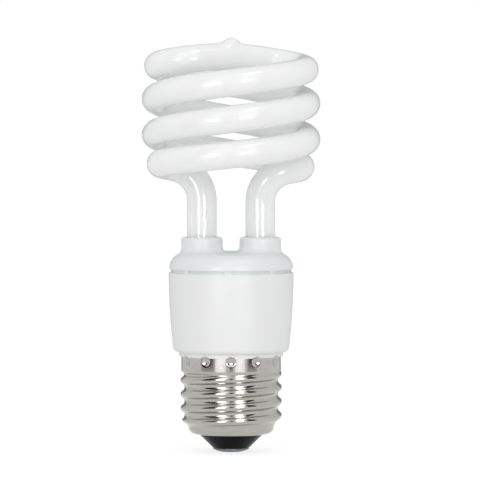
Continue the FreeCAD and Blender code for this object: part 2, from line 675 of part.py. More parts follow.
def strand(stations):
    """One half of the spiral: the elbow drawn down from the leg's radius, then the coil to the axis."""
    arcs = arcs_through(stations)
    drawn = 0
    length = 0.0
    while length < TAPER_LENGTH:
        length += arcs[drawn].Length
        drawn += 1
    neck = arcs[drawn].valueAt(arcs[drawn].FirstParameter)
    heading = arcs[drawn].tangentAt(arcs[drawn].FirstParameter)
    leg_section = Part.Wire(Part.makeCircle(LEG_RADIUS, *stations[0]))
    coil_section = Part.Wire(Part.makeCircle(COIL_TUBE_RADIUS, neck, heading))
    elbow = Part.Wire(arcs[:drawn]).makePipeShell([leg_section, coil_section], True, False)
    coil = Part.Wire(arcs[drawn:]).makePipeShell([coil_section], True, False)
    return coil.fuse([elbow] + pinched_leg(LEG_OFFSET, stations[0][0].z))


def pinched_leg(x, top):
    """Straight leg with its end pressed flat round the filament leads."""
    round_end = Part.makeCircle(LEG_RADIUS, Vector(0, 0, LEG_BOTTOM))
    sections = [Part.Wire(round_end)]
    for z in (LEG_BOTTOM - PINCH_HEIGHT, PINCH_BOTTOM):
        flat = Part.Ellipse(Vector(0, 0, z), PINCH_HALF_WIDTH, PINCH_HALF_THICKNESS)
        sections.append(Part.Wire(flat.toShape()))
    pinch = Part.makeLoft(sections, True, False)
    pinch.rotate(Vector(0, 0, 0), Z_AXIS, 90)
    pinch.translate(Vector(x, 0, 0))
    return [pinch, rod(LEG_RADIUS, LEG_BOTTOM, top, x)]


def is_tip_base(edge, crossover_top):
    """Whether an edge runs where the cold tip stands on the crossover."""
    middle = edge.valueAt((edge.FirstParameter + edge.LastParameter) / 2)
    centre = Vector(0, 0, crossover_top + TIP_HEIGHT - TIP_RADIUS)
    on_tip = abs((middle - centre).Length - TIP_RADIUS) < MATCH
    return on_tip and middle.z < crossover_top + MATCH and edge.Length > MATCH


def discharge_tube():
    """Sealed glass tube: two pinched legs, the double spiral and the cold tip on its crossover."""
    stations = strand_stations()
    first = strand(leaning(stations, COIL_LEAN))
    second = strand(leaning(stations, -COIL_LEAN))
    second.rotate(Vector(0, 0, 0), Z_AXIS, 180)
    crossover_top = stations[-1][0].z + COIL_TUBE_RADIUS
    tip = Part.makeSphere(TIP_RADIUS, Vector(0, 0, crossover_top + TIP_HEIGHT - TIP_RADIUS))
    tube = first.fuse([second, tip])
    around_tip = [edge for edge in tube.Edges if is_tip_base(edge, crossover_top)]
    return tube.makeFillet(TIP_FILLET, around_tip)


def tube_cement():
    """Rings of cement between the legs and the collars."""
    top = COLLAR_TOP - CEMENT_BELOW_COLLAR
    rings = []
    for x in LEG_PLACES:
        ring = rod(LEG_RADIUS + CEMENT_GAP, LEG_BOTTOM, top, x)
        rings.append(ring.cut(rod(LEG_RADIUS, LEG_BOTTOM, top, x)))
    return rings


# Ballast board and its components


def pair(x, y, pitch):
    """Places of two leads side by side along y."""
    return [(x, y - pitch / 2), (x, y + pitch / 2)]


def drive_leads(angle):
    """Start of the first and last lead of one drive winding, on the ring's outside."""
    starts = []
    for sign in (-1, 1):
        turn = radians(angle + sign * DRIVE_TURN_STEP)
        y = TOROID_Y + DRIVE_RADIUS * sin(turn)
        starts.append(Vector(TOROID_X + sign * DRIVE_LEAD_SPREAD, y, TOROID_Z + DRIVE_RADIUS * cos(turn)))
    return starts


BULK_LEADS = [(-BULK_LEAD_PITCH / 2, BULK_Y), (BULK_LEAD_PITCH / 2, BULK_Y)]
DIAC_LEADS = [(-DIAC_SPAN / 2, DIAC_Y), (DIAC_SPAN / 2, DIAC_Y)]
BOBBIN_PIN_X = WINDOW_EDGE - SLIP - BOBBIN_PIN_INSET
BOBBIN_PIN_Y = BOBBIN_DEPTH / 2 - BOBBIN_PIN_INSET
BOBBIN_PINS = pair(-BOBBIN_PIN_X, CHOKE_Y, 2 * BOBBIN_PIN_Y) + pair(BOBBIN_PIN_X, CHOKE_Y, 2 * BOBBIN_PIN_Y)
DRIVE_LEADS = [(lead.x, lead.y) for angle in DRIVE_WINDING_ANGLES for lead in drive_leads(angle)]
TRANSISTOR_ROW = [step * TRANSISTOR_PITCH for step in (-1, 0, 1)]
TRANSISTOR_LEADS = [(TRANSISTOR_X, y + step) for y in TRANSISTOR_PLACES for step in TRANSISTOR_ROW]
RESONANT_LEADS = pair(-FILM_X, RESONANT_Y, FILM_LEAD_PITCH)
COUPLING_LEADS = pair(FILM_X, COUPLING_Y, FILM_LEAD_PITCH)


def leads(places, bottom, radius=LEAD_RADIUS):
    """Straight leads from a component's body up through the board."""
    return [rod(radius, bottom, LEAD_TOP, x, y) for x, y in places]


def circuit_board():
    """Round board with a hole for each lead, wire and post."""
    board = rod(board_radius(), BOARD_BOTTOM, BOARD_TOP)
    thin = BULK_LEADS + DIAC_LEADS + BOBBIN_PINS + TRANSISTOR_LEADS + RESONANT_LEADS + COUPLING_LEADS
    thin = thin + [(FUSE_X, FUSE_Y)]
    sized = [(LEAD_RADIUS, place) for place in thin] + [(DRIVE_WIRE / 2, place) for place in DRIVE_LEADS]
    sized.append((WIRE_RADIUS, (CONTACT_WIRE_X, CONTACT_WIRE_Y)))
    holes = [rod(radius + CLOSE, BOARD_BOTTOM, BOARD_TOP, x, y) for radius, (x, y) in sized]
    holes += [rod(POST_HOLE_RADIUS, BOARD_BOTTOM, BOARD_TOP, x, y) for x, y in POST_PLACES]
    return board.cut(holes)


def bulk_capacitor():
    """Smoothing capacitor: a crimped can that hangs down through the neck."""
    bottom = BODY_TOP - BULK_LENGTH
    crimp = BODY_TOP - BULK_CRIMP_DROP
    round_centre = (BULK_RADIUS - BULK_ROUND, bottom + BULK_ROUND)
    can = turned((0, bottom), [
        (BULK_RADIUS - BULK_ROUND, bottom),
        (on_arc(round_centre, BULK_ROUND, -45), on_arc(round_centre, BULK_ROUND, 0)),
        (BULK_RADIUS, crimp - 2 * BULK_CRIMP),
        ((BULK_RADIUS - BULK_CRIMP, crimp - BULK_CRIMP), (BULK_RADIUS, crimp)),
        (BULK_RADIUS, BODY_TOP),
        (0, BODY_TOP),
    ])
    can.translate(Vector(0, BULK_Y, 0))
    return can.fuse(leads(BULK_LEADS, BODY_TOP - STANDOFF))


def choke_core():
    """Closed ferrite core with a middle leg and two windows."""
    bottom = BODY_TOP - CORE_HEIGHT
    core = block(CORE_WIDTH, CORE_DEPTH, bottom, BODY_TOP, 0, CHOKE_Y)
    width = WINDOW_EDGE - CORE_LEG / 2
    windows = []
    for side in (-1, 1):
        x = side * (WINDOW_EDGE + CORE_LEG / 2) / 2
        windows.append(block(width, CORE_DEPTH, bottom + CORE_BACK, BODY_TOP - CORE_BACK, x, CHOKE_Y))
    return core.cut(windows)


BOBBIN_BOTTOM = BODY_TOP - CORE_HEIGHT + CORE_BACK + SLIP
BOBBIN_TOP = BODY_TOP - CORE_BACK - SLIP
BOBBIN_BORE = (CORE_LEG + 2 * SLIP, CORE_DEPTH + 2 * SLIP)
BOBBIN_BARREL = (BOBBIN_BORE[0] + 2 * BOBBIN_WALL, BOBBIN_BORE[1] + 2 * BOBBIN_WALL)
BOBBIN_FLANGE = (2 * (WINDOW_EDGE - SLIP), BOBBIN_DEPTH)


def choke_bobbin():
    """Bobbin on the core's middle leg: a square barrel between two flanges, with pins in the board."""
    barrel = block(*BOBBIN_BARREL, BOBBIN_BOTTOM, BOBBIN_TOP, 0, CHOKE_Y)
    lower = block(*BOBBIN_FLANGE, BOBBIN_BOTTOM, BOBBIN_BOTTOM + BOBBIN_WALL, 0, CHOKE_Y)
    upper = block(*BOBBIN_FLANGE, BOBBIN_TOP - BOBBIN_WALL, BOBBIN_TOP, 0, CHOKE_Y)
    bore = block(*BOBBIN_BORE, BOBBIN_BOTTOM, BOBBIN_TOP, 0, CHOKE_Y)
    return barrel.fuse([lower, upper] + leads(BOBBIN_PINS, BOBBIN_TOP - BOBBIN_WALL)).cut(bore)


def choke_winding():
    """Wound copper between the bobbin's flanges."""
    bottom = BOBBIN_BOTTOM + BOBBIN_WALL
    top = BOBBIN_TOP - BOBBIN_WALL
    width, depth = [size - 2 * WINDING_INSET for size in BOBBIN_FLANGE]
    wound = rounded_upright(block(width, depth, bottom, top, 0, CHOKE_Y), WINDING_ROUND)
    return wound.cut(block(*BOBBIN_BARREL, bottom, top, 0, CHOKE_Y))


def across_toroid(radius, length):
    """Round bar along the upright ring's axis, centred on the ring."""
    start = Vector(TOROID_X - length / 2, TOROID_Y, TOROID_Z)
    return Part.makeCylinder(radius, length, start, Vector(1, 0, 0))


def drive_toroid():
    """Ferrite ring of the drive transformer, standing on edge."""
    ring = across_toroid(TOROID_RADIUS, TOROID_THICKNESS)
    return ring.cut(across_toroid(TOROID_BORE_RADIUS, TOROID_THICKNESS))


def drive_windings():
    """Three windings of a few turns round the ring, each with its leads up through the board."""
    inner_width = TOROID_THICKNESS + 2 * CLOSE
    inner_low = TOROID_Z + TOROID_BORE_RADIUS - CLOSE
    inner_high = TOROID_Z + TOROID_RADIUS + CLOSE
    outer_width = inner_width + 2 * DRIVE_WIRE
    outer_low = inner_low - DRIVE_WIRE
    turn = block(outer_width, DRIVE_WIRE, outer_low, inner_high + DRIVE_WIRE, TOROID_X, TOROID_Y)
    turn = turn.cut(block(inner_width, DRIVE_WIRE, inner_low, inner_high, TOROID_X, TOROID_Y))
    centre = Vector(TOROID_X, TOROID_Y, TOROID_Z)
    windings = []
    for angle in DRIVE_WINDING_ANGLES:
        pieces = []
        for step in (-1, 0, 1):
            copy = turn.copy()
            copy.rotate(centre, Vector(-1, 0, 0), angle + step * DRIVE_TURN_STEP)
            pieces.append(copy)
        pieces += [rod(DRIVE_WIRE / 2, lead.z, LEAD_TOP, lead.x, lead.y) for lead in drive_leads(angle)]
        windings.append(pieces[0].fuse(pieces[1:]))
    return windings


def switching_transistors():
    """Two small transistors with a flat on their outer side."""
    top = BOARD_BOTTOM - TRANSISTOR_LEG
    bottom = top - TRANSISTOR_HEIGHT
    pieces = []
    for index, y in enumerate(TRANSISTOR_PLACES):
        body = rod(TRANSISTOR_RADIUS, bottom, top, TRANSISTOR_X, y)
        beyond = TRANSISTOR_X + TRANSISTOR_FLAT + TRANSISTOR_RADIUS
        body = body.cut(block(2 * TRANSISTOR_RADIUS, 2 * TRANSISTOR_RADIUS, bottom, top, beyond, y))
        pieces.append(body.fuse(leads(TRANSISTOR_LEADS[3 * index:3 * index + 3], top - STANDOFF)))
    return pieces


def film_capacitor(places, height):
    """Dipped film capacitor on two leads."""
    x = places[0][0]
    y = (places[0][1] + places[1][1]) / 2
    body = rounded_upright(block(FILM_THICKNESS, FILM_WIDTH, BODY_TOP - height, BODY_TOP, x, y), FILM_ROUND)
    return body.fuse(leads(places, BODY_TOP - STANDOFF))


def trigger_diac():
    """Glass diode lying under the board on its bent leads."""
    level = BODY_TOP - DIAC_RADIUS
    (left, y), (right, y) = DIAC_LEADS
    route = [(left, LEAD_TOP), (left, level), (right, level), (right, LEAD_TOP)]
    start = Vector(-DIAC_LENGTH / 2, y, level)
    body = Part.makeCylinder(DIAC_RADIUS, DIAC_LENGTH, start, Vector(1, 0, 0))
    lead = bent_wire([Vector(x, y, z) for x, z in route], LEAD_RADIUS, LEAD_BEND)
    return lead.fuse(body)


def fusible_resistor():
    """Upright resistor in the shell's supply lead."""
    body = rod(FUSE_RADIUS, FUSE_BOTTOM, BODY_TOP, FUSE_X, FUSE_Y)
    return body.fuse(rod(LEAD_RADIUS, FUSE_BOTTOM - FUSE_LEAD, LEAD_TOP, FUSE_X, FUSE_Y))


def shell_wire():
    """Supply wire from the resistor's lead down and out through the neck's notch to the shell."""
    top = Vector(FUSE_X, FUSE_Y, FUSE_BOTTOM - FUSE_LEAD)
    corner = Vector(FUSE_X, FUSE_Y, SHELL_WIRE_Z)
    end = at_radius(SKIRT_RADIUS - SHEET - CLOSE, FUSE_ANGLE, SHELL_WIRE_Z)
    return bent_wire([top, corner, end], WIRE_RADIUS, WIRE_BEND)


def rectifier_diodes():
    """Four moulded diodes on the solder side."""
    length, width, height = DIODE_SIZE
    places = [(x, BULK_Y + offset) for x in (-DIODE_X, DIODE_X) for offset in DIODE_OFFSETS]
    return [block(length, width, BOARD_TOP, BOARD_TOP + height, x, y) for x, y in places]


def chip_resistors():
    """Row of chip resistors on the solder side."""
    length, width, height = CHIP_SIZE
    rows = [CHIP_FIRST_Y + CHIP_STEP * index for index in range(CHIP_COUNT)]
    return [block(length, width, BOARD_TOP, BOARD_TOP + height, 0, y) for y in rows]


def wrap_posts():
    """Square posts that the filament leads are wrapped round."""
    bottom = BOARD_BOTTOM - POST_TAIL
    return [block(POST_WIDTH, POST_WIDTH, bottom, BOARD_TOP + POST_HEIGHT, x, y) for x, y in POST_PLACES]


def filament_leads():
    """Leads from the tube's pinched ends, each wrapped round its post."""
    wires = []
    for x, y in POST_PLACES:
        side_x = 1 if x > 0 else -1
        side_y = 1 if y > 0 else -1
        start = Vector(side_x * LEG_OFFSET, side_y * FILAMENT_SPREAD, PINCH_BOTTOM)
        corner = Vector(start.x, start.y, WRAP_Z)
        post = Vector(x, y, WRAP_Z)
        end = post + (corner - post).normalize() * (POST_HOLE_RADIUS + FILAMENT_RADIUS)
        low = WRAP_Z - WRAP_HEIGHT / 2
        wrap = rod(POST_HOLE_RADIUS + 2 * FILAMENT_RADIUS, low, low + WRAP_HEIGHT, x, y)
        wrap = wrap.cut(rod(POST_HOLE_RADIUS, low, low + WRAP_HEIGHT, x, y))
        wires.append(bent_wire([start, corner, end], FILAMENT_RADIUS, FILAMENT_BEND).fuse(wrap))
    return wires


os.makedirs("parts", exist_ok=True)
supply_wire = contact_wire()
save("centre_contact", centre_contact())
save("contact_solder", contact_solder(supply_wire))
save("base_insulator", base_insulator())
save("screw_shell", screw_shell())
save("ballast_housing", ballast_housing())
save("tube_cap", tube_cap())
save("discharge_tube", discharge_tube())
save("tube_cement", tube_cement())
save("circuit_board", circuit_board())
save("bulk_capacitor", bulk_capacitor())
save("choke_core", choke_core())
save("choke_bobbin", choke_bobbin())
save("choke_winding", choke_winding())
save("drive_toroid", drive_toroid())
save("drive_windings", drive_windings())
save("switching_transistors", switching_transistors())
save("resonant_capacitor", film_capacitor(RESONANT_LEADS, RESONANT_HEIGHT))
save("coupling_capacitor", film_capacitor(COUPLING_LEADS, COUPLING_HEIGHT))
save("rectifier_diodes", rectifier_diodes())
save("chip_resistors", chip_resistors())
save("trigger_diac", trigger_diac())
save("fusible_resistor", fusible_resistor())
save("contact_wire", supply_wire)
save("shell_wire", shell_wire())
save("wrap_posts", wrap_posts())
save("filament_leads", filament_leads())
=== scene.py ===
from math import atan2, cos, hypot, pi, radians, sin, sqrt

import bmesh
import bpy
from mathutils import Matrix, Vector


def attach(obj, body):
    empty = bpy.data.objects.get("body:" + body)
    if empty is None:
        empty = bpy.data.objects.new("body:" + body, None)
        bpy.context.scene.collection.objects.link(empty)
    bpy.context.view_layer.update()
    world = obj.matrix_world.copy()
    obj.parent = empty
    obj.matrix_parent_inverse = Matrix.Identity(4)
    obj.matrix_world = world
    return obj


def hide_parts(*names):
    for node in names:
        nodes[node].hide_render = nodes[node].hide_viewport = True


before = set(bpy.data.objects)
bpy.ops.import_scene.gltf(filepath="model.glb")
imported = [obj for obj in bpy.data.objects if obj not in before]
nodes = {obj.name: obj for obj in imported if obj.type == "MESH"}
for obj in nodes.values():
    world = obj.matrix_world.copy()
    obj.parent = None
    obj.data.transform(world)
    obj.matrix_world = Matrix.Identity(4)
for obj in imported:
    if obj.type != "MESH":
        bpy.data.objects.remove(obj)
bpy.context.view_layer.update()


# Black glass insulator: a slug of dark glass pressed hot into the bottom of the screw shell.
# It cools with a fire-polished skin and faint flow bands round it.
PATCH_DETAIL = 4.0
GRAIN_DETAIL = 2.0
NOISE_LOW = 0.3
NOISE_HIGH = 0.7
GRAIN_RELIEF = 0.00002


def noise_spread(tree):
    spread = tree.nodes.new("ShaderNodeMapRange")
    spread.inputs["From Min"].default_value = NOISE_LOW
    spread.inputs["From Max"].default_value = NOISE_HIGH
    return spread


def surface_group():
    tree = bpy.data.node_groups.new("worked_surface", "ShaderNodeTree")
    for label, kind in (
        ("Light Tone", "NodeSocketColor"),
        ("Dark Tone", "NodeSocketColor"),
        ("Squeeze", "NodeSocketVector"),
        ("Patches a Metre", "NodeSocketFloat"),
        ("Grains a Metre", "NodeSocketFloat"),
        ("Low Roughness", "NodeSocketFloat"),
        ("High Roughness", "NodeSocketFloat"),
    ):
        tree.interface.new_socket(label, in_out="INPUT", socket_type=kind)
    for label, kind in (
        ("Colour", "NodeSocketColor"),
        ("Roughness", "NodeSocketFloat"),
        ("Height", "NodeSocketFloat"),
    ):
        tree.interface.new_socket(label, in_out="OUTPUT", socket_type=kind)
    given = tree.nodes.new("NodeGroupInput")
    result = tree.nodes.new("NodeGroupOutput")
    place = tree.nodes.new("ShaderNodeTexCoord")
    squeeze = tree.nodes.new("ShaderNodeMapping")
    patches = tree.nodes.new("ShaderNodeTexNoise")
    patches.inputs["Detail"].default_value = PATCH_DETAIL
    grain = tree.nodes.new("ShaderNodeTexNoise")
    grain.inputs["Detail"].default_value = GRAIN_DETAIL
    spread = noise_spread(tree)
    tone = tree.nodes.new("ShaderNodeMix")
    tone.data_type = "RGBA"
    gloss = noise_spread(tree)
    link = tree.links.new
    link(place.outputs["Object"], squeeze.inputs["Vector"])
    link(given.outputs["Squeeze"], squeeze.inputs["Scale"])
    link(squeeze.outputs["Vector"], patches.inputs["Vector"])
    link(squeeze.outputs["Vector"], grain.inputs["Vector"])
    link(given.outputs["Patches a Metre"], patches.inputs["Scale"])
    link(given.outputs["Grains a Metre"], grain.inputs["Scale"])
    link(patches.outputs["Fac"], spread.inputs["Value"])
    link(spread.outputs["Result"], tone.inputs["Factor"])
    link(given.outputs["Dark Tone"], tone.inputs["A"])
    link(given.outputs["Light Tone"], tone.inputs["B"])
    link(tone.outputs["Result"], result.inputs["Colour"])
    link(grain.outputs["Fac"], gloss.inputs["Value"])
    link(given.outputs["Low Roughness"], gloss.inputs["To Min"])
    link(given.outputs["High Roughness"], gloss.inputs["To Max"])
    link(gloss.outputs["Result"], result.inputs["Roughness"])
    link(grain.outputs["Fac"], result.inputs["Height"])
    return tree


worked_surface = surface_group()


def worked_finish(name, light, dark, patches, grains, rough, bump=0.0, squeeze=(1, 1, 1), **plain):
    material = bpy.data.materials.new(name)
    material.use_nodes = True
    tree = material.node_tree
    shader = tree.nodes["Principled BSDF"]
    for label, value in plain.items():
        shader.inputs[label].default_value = value
    worked = tree.nodes.new("ShaderNodeGroup")
    worked.node_tree = worked_surface
    worked.inputs["Light Tone"].default_value = (*light, 1.0)
    worked.inputs["Dark Tone"].default_value = (*dark, 1.0)
    worked.inputs["Squeeze"].default_value = squeeze
    worked.inputs["Patches a Metre"].default_value = patches
    worked.inputs["Grains a Metre"].default_value = grains
    worked.inputs["Low Roughness"].default_value = rough[0]
    worked.inputs["High Roughness"].default_value = rough[1]
    tree.links.new(worked.outputs["Colour"], shader.inputs["Base Color"])
    tree.links.new(worked.outputs["Roughness"], shader.inputs["Roughness"])
    if bump:
        relief = tree.nodes.new("ShaderNodeBump")
        relief.inputs["Strength"].default_value = bump
        relief.inputs["Distance"].default_value = GRAIN_RELIEF
        tree.links.new(worked.outputs["Height"], relief.inputs["Height"])
        tree.links.new(relief.outputs["Normal"], shader.inputs["Normal"])
    return material


def dress(node, material):
    nodes[node].data.materials.clear()
    nodes[node].data.materials.append(material)


black_glass = worked_finish(
    "black_glass", light=(0.006, 0.005, 0.006), dark=(0.002, 0.002, 0.002), squeeze=(1, 1, 3),
    patches=260, grains=2600, rough=(0.06, 0.16), bump=0.08, **{"Specular IOR Level": 0.08}
)
dress("base_insulator", black_glass)


# Centre contact: a tinned brass disc drawn to a shallow dome and riveted through the insulator by its eyelet.
# Its tone is set far darker than tin's own, a painted shade that stands in for the dark surroundings it
# mirrors. Tone and gloss also vary a little at random.
tinned_brass = worked_finish(
    "tinned_brass", light=(0.2, 0.22, 0.24), dark=(0.13, 0.145, 0.16),
    patches=420, grains=3000, rough=(0.26, 0.42), bump=0.15, Metallic=1.0
)
dress("centre_contact", tinned_brass)


# Contact solder: soft solder run into the eyelet round the end of the contact's wire.
# It is left as it set, rough and lumpy.
solder = worked_finish(
    "solder", light=(0.66, 0.66, 0.67), dark=(0.42, 0.42, 0.44),
    patches=900, grains=2500, rough=(0.28, 0.5), bump=0.5, Metallic=1.0
)
dress("contact_solder", solder)


# Screw shell: nickel-plated sheet, drawn to a cup and rolled to the lamp thread, then staked to the neck
# by a ring of dents, one of them in front. Rolling leaves fine marks round the thread, and the plating
# has a warm tone.
SHEET = 0.0003
SHELL_BOTTOM = 0.00473
SHELL_TOP = 0.0249
RIM_RADIUS = 0.01105
RIM_BEND = 0.00165
RIM_BEND_SEGMENTS = 8
RIM_HOLE_RADIUS = 0.0086
RIM_TOP = SHELL_BOTTOM + RIM_BEND
CREST_RADIUS = 0.0131
VALLEY_RADIUS = 0.0121
THREAD_PITCH = 0.00363
FIRST_CREST = 0.00477
RUNOUT_HEIGHT = 0.0023
SKIRT_RADIUS = 0.0129
SKIRT_RUNOUT = 0.0012
SKIRT_HEIGHT = 0.0037
SKIRT_BOTTOM = SHELL_TOP - SKIRT_HEIGHT
THREAD_DEPTH = CREST_RADIUS - VALLEY_RADIUS
KNUCKLE = (THREAD_PITCH ** 2 / 4 + THREAD_DEPTH ** 2) / (4 * THREAD_DEPTH)
DENT_COUNT = 12
DENT_HALF_WIDTH = 0.001
DENT_DEPTH = 0.00045
DENT_BELOW_EDGE = 0.00115
DENT_LEVEL = SHELL_TOP - DENT_BELOW_EDGE
DENT_BALL = (DENT_HALF_WIDTH ** 2 + DENT_DEPTH ** 2) / (2 * DENT_DEPTH)
DENT_REACH = SKIRT_RADIUS - DENT_DEPTH + DENT_BALL
FRONT_TURN = -0.25
WALL_RINGS = 95
ROUND_STEPS = 240


def ease(share):
    share = min(1.0, max(0.0, share))
    return share * share * (3 - 2 * share)


def thread_radius(turns, z):
    pitches = (z - SHELL_BOTTOM - FIRST_CREST) / THREAD_PITCH - turns
    from_crest = abs(pitches - round(pitches)) * THREAD_PITCH
    from_valley = THREAD_PITCH / 2 - from_crest
    if from_crest < from_valley:
        radius = CREST_RADIUS - KNUCKLE + sqrt(KNUCKLE ** 2 - from_crest ** 2)
    else:
        radius = VALLEY_RADIUS + KNUCKLE - sqrt(KNUCKLE ** 2 - from_valley ** 2)
    radius = RIM_RADIUS + (radius - RIM_RADIUS) * ease((z - RIM_TOP) / RUNOUT_HEIGHT)
    return radius + (SKIRT_RADIUS - radius) * ease((z - SKIRT_BOTTOM + SKIRT_RUNOUT) / SKIRT_RUNOUT)


def staked_radius(turns, z):
    places = DENT_COUNT * (turns - FRONT_TURN)
    aside = 2 * pi * (places - round(places)) / DENT_COUNT
    inside_ball = DENT_BALL ** 2 - (DENT_REACH * sin(aside)) ** 2 - (z - DENT_LEVEL) ** 2
    radius = thread_radius(turns, z)
    if inside_ball > 0:
        radius = min(radius, DENT_REACH * cos(aside) - sqrt(inside_ball))
    return radius


rolled = bmesh.new()
hole_edge = rolled.verts.new((RIM_HOLE_RADIUS, 0.0, SHELL_BOTTOM))
rim_corner = rolled.verts.new((RIM_RADIUS, 0.0, SHELL_BOTTOM))
skirt_edge = rolled.verts.new((RIM_RADIUS, 0.0, SHELL_TOP))
rolled.edges.new((hole_edge, rim_corner))
rolled.edges.new((rim_corner, skirt_edge))
bmesh.ops.bevel(
    rolled, geom=[rim_corner], offset=RIM_BEND, affect="VERTICES", segments=RIM_BEND_SEGMENTS, profile=0.5,
    material=-1
)
wall = max(rolled.edges, key=lambda edge: edge.calc_length())
bmesh.ops.subdivide_edges(rolled, edges=[wall], cuts=WALL_RINGS)
bmesh.ops.spin(
    rolled, geom=rolled.verts[:] + rolled.edges[:], axis=(0, 0, 1), cent=(0, 0, 0), angle=2 * pi,
    steps=ROUND_STEPS, use_merge=True
)
for vert in rolled.verts:
    x, y, z = vert.co
    if z > RIM_TOP:
        reach = staked_radius(atan2(y, x) / (2 * pi), z) / hypot(x, y)
        vert.co = (reach * x, reach * y, z)
bmesh.ops.recalc_face_normals(rolled, faces=rolled.faces)
for face in rolled.faces:
    face.smooth = True
for edge in rolled.edges:
    edge.smooth = not edge.is_boundary
shell_mesh = bpy.data.meshes.new("rolled_shell")
rolled.to_mesh(shell_mesh)
rolled.free()
rolled_shell = bpy.data.objects.new("rolled_shell", shell_mesh)
bpy.context.scene.collection.objects.link(rolled_shell)
sheet_gauge = rolled_shell.modifiers.new("sheet_gauge", "SOLIDIFY")
sheet_gauge.thickness = SHEET
sheet_gauge.offset = -1.0
nickel = worked_finish(
    "nickel_plate", light=(0.53, 0.512, 0.478), dark=(0.47, 0.452, 0.418), squeeze=(1, 1, 6),
    patches=300, grains=2200, rough=(0.08, 0.1), bump=0.015, Metallic=1.0
)
shell_mesh.materials.append(nickel)
dress("screw_shell", nickel)
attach(rolled_shell, "root")
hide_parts("screw_shell")


# Supply wires: copper strands in extruded sleeves, red to the centre contact and black to the shell.
# The red one is soldered into the eyelet, and the black one goes out through a notch in the neck.
red_sleeve = worked_finish(
    "red_sleeve", light=(0.72, 0.12, 0.09), dark=(0.6, 0.09, 0.07),
    patches=600, grains=3500, rough=(0.26, 0.4), bump=0.15
)
dress("contact_wire", red_sleeve)
black_sleeve = worked_finish(
    "black_sleeve", light=(0.055, 0.055, 0.06), dark=(0.035, 0.035, 0.04),
    patches=600, grains=3500, rough=(0.26, 0.4), bump=0.15
)
dress("shell_wire", black_sleeve)


# Fusible resistor: a ceramic rod with a matt fired coat, upright under the board in the shell's supply lead.
# It opens the circuit if the ballast fails.
fired_coat = worked_finish(
    "fired_coat", light=(0.4, 0.52, 0.46), dark=(0.33, 0.45, 0.39),
    patches=700, grains=3500, rough=(0.45, 0.65), bump=0.3
)
dress("fusible_resistor", fired_coat)


# Ballast board: a round of phenolic paper laminate, drilled for each lead, wire and post.
# The larger components hang below it, and its solder side is above.
laminate = worked_finish(
    "laminate", light=(0.5, 0.34, 0.17), dark=(0.38, 0.25, 0.11), squeeze=(1, 3, 1),
    patches=500, grains=4000, rough=(0.4, 0.6), bump=0.3
)
dress("circuit_board", laminate)


# Bulk capacitor: the smoothing capacitor, a crimped aluminium can in a dark sleeve shrunk over it.
# It hangs from the board by its two leads, down through the neck.
can_sleeve = worked_finish(
    "can_sleeve", light=(0.04, 0.045, 0.065), dark=(0.02, 0.024, 0.035), squeeze=(1, 1, 2),
    patches=500, grains=3000, rough=(0.22, 0.38), bump=0.1
)
dress("bulk_capacitor", can_sleeve)


# Choke: a closed core of pressed and fired ferrite round a moulded bobbin, wound with enamelled copper wire.
# The bobbin's pins hold it in the board.
ferrite = worked_finish(
    "ferrite", light=(0.075, 0.072, 0.07), dark=(0.03, 0.029, 0.028),
    patches=800, grains=5000, rough=(0.5, 0.75), bump=0.6
)
dress("choke_core", ferrite)
bobbin_nylon = worked_finish(
    "bobbin_nylon", light=(0.74, 0.7, 0.6), dark=(0.64, 0.6, 0.5),
    patches=500, grains=4000, rough=(0.38, 0.55), bump=0.25
)
dress("choke_bobbin", bobbin_nylon)
enamelled_copper = worked_finish(
    "enamelled_copper", light=(0.68, 0.3, 0.13), dark=(0.48, 0.19, 0.07), squeeze=(1, 1, 12),
    patches=700, grains=3000, rough=(0.18, 0.34), bump=0.5, Metallic=1.0
)
dress("choke_winding", enamelled_copper)


# Drive transformer: a ferrite ring on edge with three windings of a few turns, in red sleeved wire.
# The windings' ends go up through the board and carry the ring.
dress("drive_toroid", ferrite)
dress("drive_windings", red_sleeve)


# Transistors, diodes and chip resistors: small black packages, moulded or with a fired coat.
# The transistors hang below the board, and the diodes and chips lie on its solder side.
moulding_black = worked_finish(
    "moulding_black", light=(0.03, 0.03, 0.031), dark=(0.014, 0.014, 0.015),
    patches=900, grains=6000, rough=(0.42, 0.62), bump=0.4
)
for package in ("switching_transistors", "rectifier_diodes", "chip_resistors"):
    dress(package, moulding_black)


# Film capacitors: flat rolls of metallised film on two leads, dipped in resin.
# The resonant one has a brown-red coat and the coupling one a green coat.
film_dip = worked_finish(
    "film_dip", light=(0.4, 0.09, 0.04), dark=(0.27, 0.05, 0.02),
    patches=500, grains=3500, rough=(0.22, 0.4), bump=0.3
)
dress("resonant_capacitor", film_dip)
green_dip = worked_finish(
    "green_dip", light=(0.14, 0.33, 0.16), dark=(0.09, 0.25, 0.11),
    patches=500, grains=3500, rough=(0.22, 0.4), bump=0.3
)
dress("coupling_capacitor", green_dip)


# Trigger diac: a small glass diode painted blue, which starts the ballast.
# It lies under the board on its bent leads.
blue_lacquer = worked_finish(
    "blue_lacquer", light=(0.08, 0.15, 0.36), dark=(0.04, 0.09, 0.22),
    patches=900, grains=4000, rough=(0.22, 0.4), bump=0.2
)
dress("trigger_diac", blue_lacquer)


# Wrap posts and filament leads: square tinned posts pressed into the board, and the bare wires that come
# out of the tube's pinched ends. Each wire is wrapped round its post and needs no solder.
tinned_wire = worked_finish(
    "tinned_wire", light=(0.74, 0.73, 0.71), dark=(0.6, 0.59, 0.57),
    patches=900, grains=5000, rough=(0.22, 0.4), bump=0.1, Metallic=1.0
)
dress("wrap_posts", tinned_wire)
bare_wire = worked_finish(
    "bare_wire", light=(0.58, 0.55, 0.51), dark=(0.5, 0.47, 0.43),
    patches=900, grains=5000, rough=(0.26, 0.44), bump=0.1, Metallic=1.0
)
dress("filament_leads", bare_wire)


